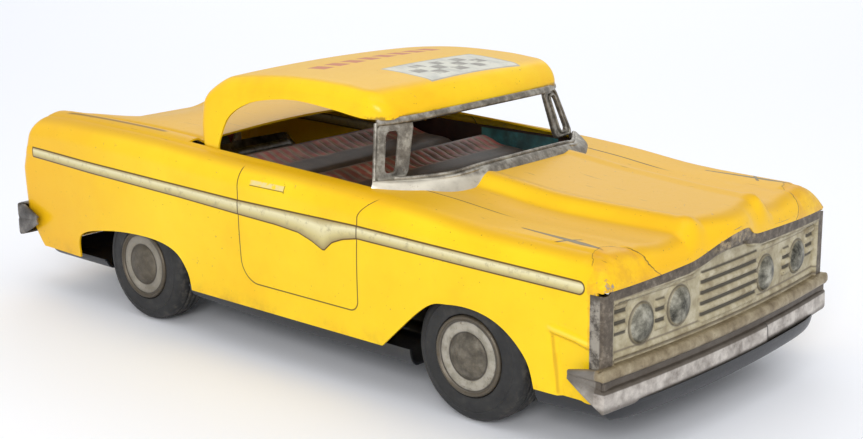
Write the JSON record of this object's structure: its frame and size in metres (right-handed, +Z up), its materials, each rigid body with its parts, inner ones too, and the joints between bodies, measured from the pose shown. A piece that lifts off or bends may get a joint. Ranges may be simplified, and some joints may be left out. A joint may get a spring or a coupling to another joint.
{
  "type": "friction tin car",
  "caption": "Pressed tinplate two-door car with an open cabin, rubber tyres, a base plate and a geared flywheel motor on the rear axle.",
  "frame": {"origin": "on the ground, under the middle of the car's length and width", "axes": "+X forward, +Y the car's left, +Z up"},
  "size_m": [0.2026, 0.0896, 0.0675],
  "materials": {
    "yellow_paint": "gloss print on tinplate, worn",
    "bare_tin": "tarnished bare tinplate",
    "bright_tin": "worn bright tinplate",
    "grille_print": "satin lacquer on embossed tinplate",
    "tail_print": "satin lacquer on embossed tinplate",
    "black_paint": "semi-gloss",
    "seat_print": "print on tinplate",
    "rubber": "matt moulded",
    "cap_print": "gloss print on domed tinplate",
    "brass": "stamped",
    "cast_weight": "turned",
    "steel": "plated"
  },
  "bodies": {
    "car_body": {"body_shell": "yellow_paint", "roof_panel": "yellow_paint", "windshield_frame": "bare_tin", "grille_panel": "grille_print", "front_bumper": "bright_tin", "tail_panel": "tail_print", "rear_bumper": "bare_tin", "base_plate": "black_paint", "interior_pan": "seat_print", "front_axle_bracket": "steel", "motor_plate_left": "steel", "motor_plate_right": "steel", "motor_post_front": "steel", "motor_post_rear": "steel", "motor_post_upper": "steel"},
    "front_wheelset": {"front_axle": "steel", "front_left_tyre": "rubber", "front_left_hub_cap": "cap_print", "front_left_bush": "steel", "front_right_tyre": "rubber", "front_right_hub_cap": "cap_print", "front_right_bush": "steel"},
    "rear_wheelset": {"rear_axle": "steel", "axle_gear": "brass", "rear_left_tyre": "rubber", "rear_left_hub_cap": "cap_print", "rear_left_bush": "steel", "rear_right_tyre": "rubber", "rear_right_hub_cap": "cap_print", "rear_right_bush": "steel"},
    "idler": {"idler_shaft": "steel", "idler_pinion": "brass", "idler_gear": "brass"},
    "flywheel_set": {"flywheel_shaft": "steel", "flywheel_pinion": "brass", "flywheel": "cast_weight"}
  },
  "joints": [
    {"name": "front_axle_spin", "type": "hinge", "parent": "car_body", "child": "front_wheelset", "pos_m": [0.06145, 0, 0.015], "axis": [0, 1, 0], "continuous": true},
    {"name": "rear_axle_spin", "type": "hinge", "parent": "car_body", "child": "rear_wheelset", "pos_m": [-0.04895, 0, 0.015], "axis": [0, 1, 0], "continuous": true},
    {"name": "idler_spin", "type": "hinge", "parent": "car_body", "child": "idler", "pos_m": [-0.05536, 0, 0.02705], "axis": [0, 1, 0], "continuous": true},
    {"name": "flywheel_spin", "type": "hinge", "parent": "car_body", "child": "flywheel_set", "pos_m": [-0.06862, 0, 0.03241], "axis": [0, 1, 0], "continuous": true}
  ],
  "couplings": [
    {"joint": "idler_spin", "follows": "rear_axle_spin", "ratio": -2.5},
    {"joint": "flywheel_spin", "follows": "rear_axle_spin", "ratio": 6.6667}
  ]
}
